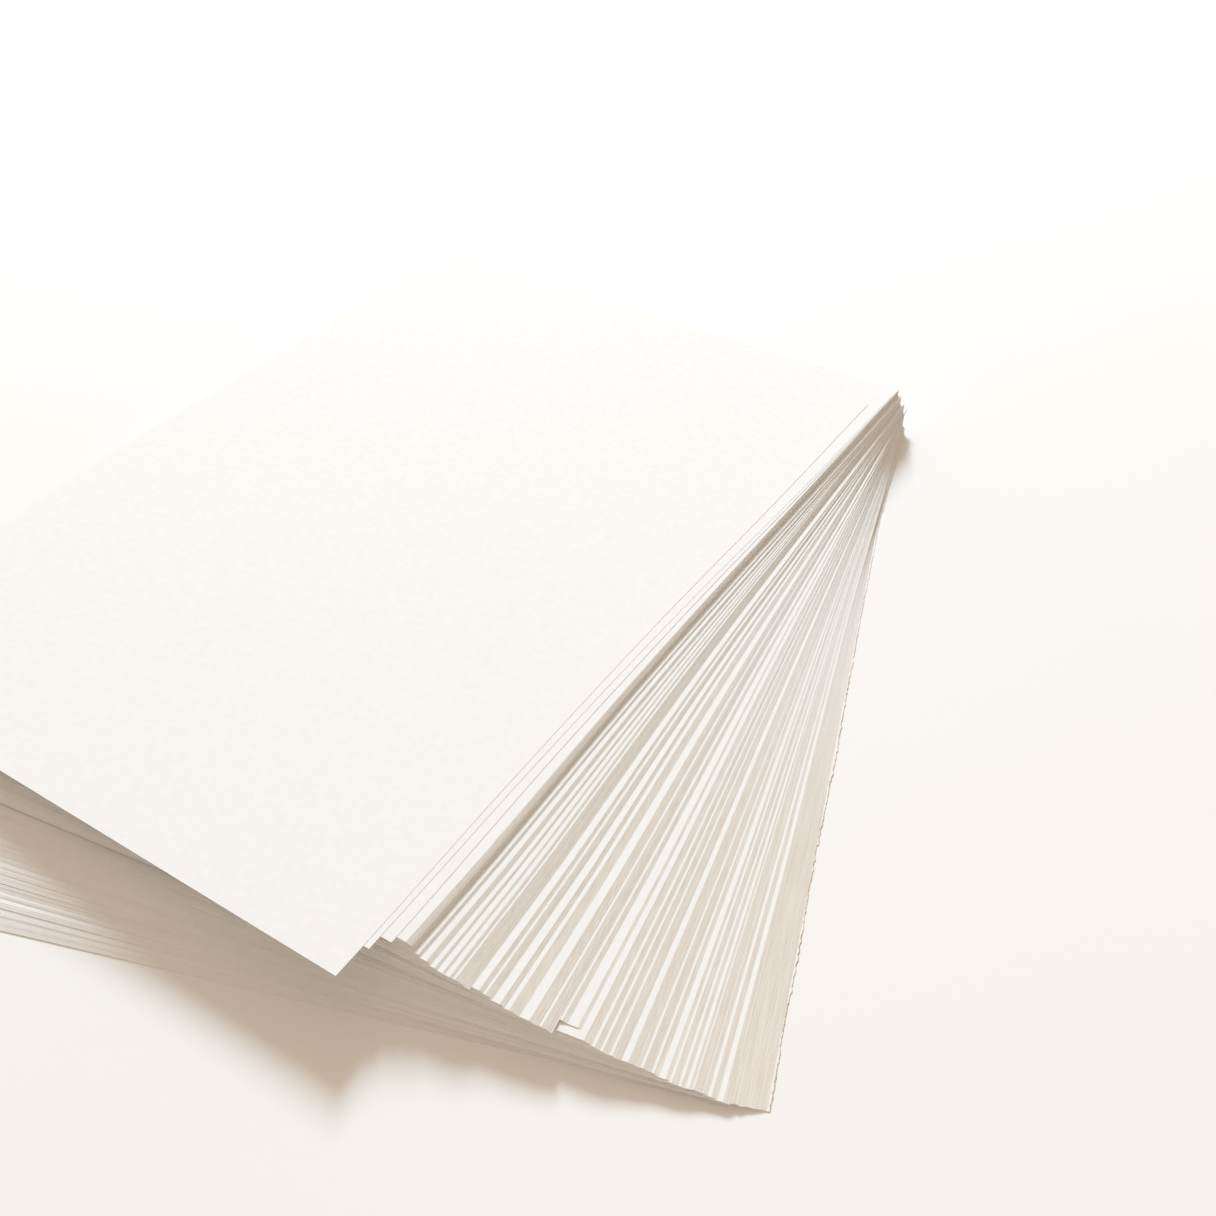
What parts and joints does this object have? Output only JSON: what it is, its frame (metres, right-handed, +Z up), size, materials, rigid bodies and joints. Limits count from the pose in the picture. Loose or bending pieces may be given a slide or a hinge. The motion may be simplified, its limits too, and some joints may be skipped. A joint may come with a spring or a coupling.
{
  "type": "ream of paper",
  "caption": "Ream of plain white office paper out of its wrapper, its sheets fanned out in a twist about one corner.",
  "frame": {"origin": "middle of the outline of the lowest sheets, on the underside of the leaf that the stack rests on", "axes": "+X along the short side of the lowest sheets, +Y along their long side towards the corner about which the stack is twisted, +Z up"},
  "size_m": [0.3024, 0.3615, 0.0185],
  "materials": {
    "paper": "uncoated white office paper, matt, with cut edges",
    "torn_paper": "thick off-white leaf with a torn, fibrous tan edge"
  },
  "bodies": {
    "root": {"bottom_leaf": "torn_paper", "loose_sheet_1": "paper", "loose_sheet_2": "paper", "loose_sheet_3": "paper", "packet_01": "paper", "packet_02": "paper", "packet_03": "paper", "packet_04": "paper", "packet_05": "paper", "packet_06": "paper", "packet_07": "paper", "packet_08": "paper", "packet_09": "paper", "packet_10": "paper", "packet_11": "paper", "packet_12": "paper", "packet_13": "paper", "packet_14": "paper", "packet_15": "paper", "packet_16": "paper", "packet_17": "paper", "packet_18": "paper", "packet_19": "paper", "packet_20": "paper", "packet_21": "paper", "packet_22": "paper", "packet_23": "paper", "packet_24": "paper", "packet_25": "paper", "packet_26": "paper", "packet_27": "paper", "packet_28": "paper", "packet_29": "paper", "packet_30": "paper", "packet_31": "paper", "packet_32": "paper", "packet_33": "paper", "packet_34": "paper", "packet_35": "paper", "packet_36": "paper", "packet_37": "paper", "packet_38": "paper", "packet_39": "paper", "packet_40": "paper", "packet_41": "paper", "packet_42": "paper", "packet_43": "paper", "packet_44": "paper", "packet_45": "paper", "packet_46": "paper", "packet_47": "paper", "packet_48": "paper", "packet_49": "paper", "packet_50": "paper"}
  },
  "joints": []
}
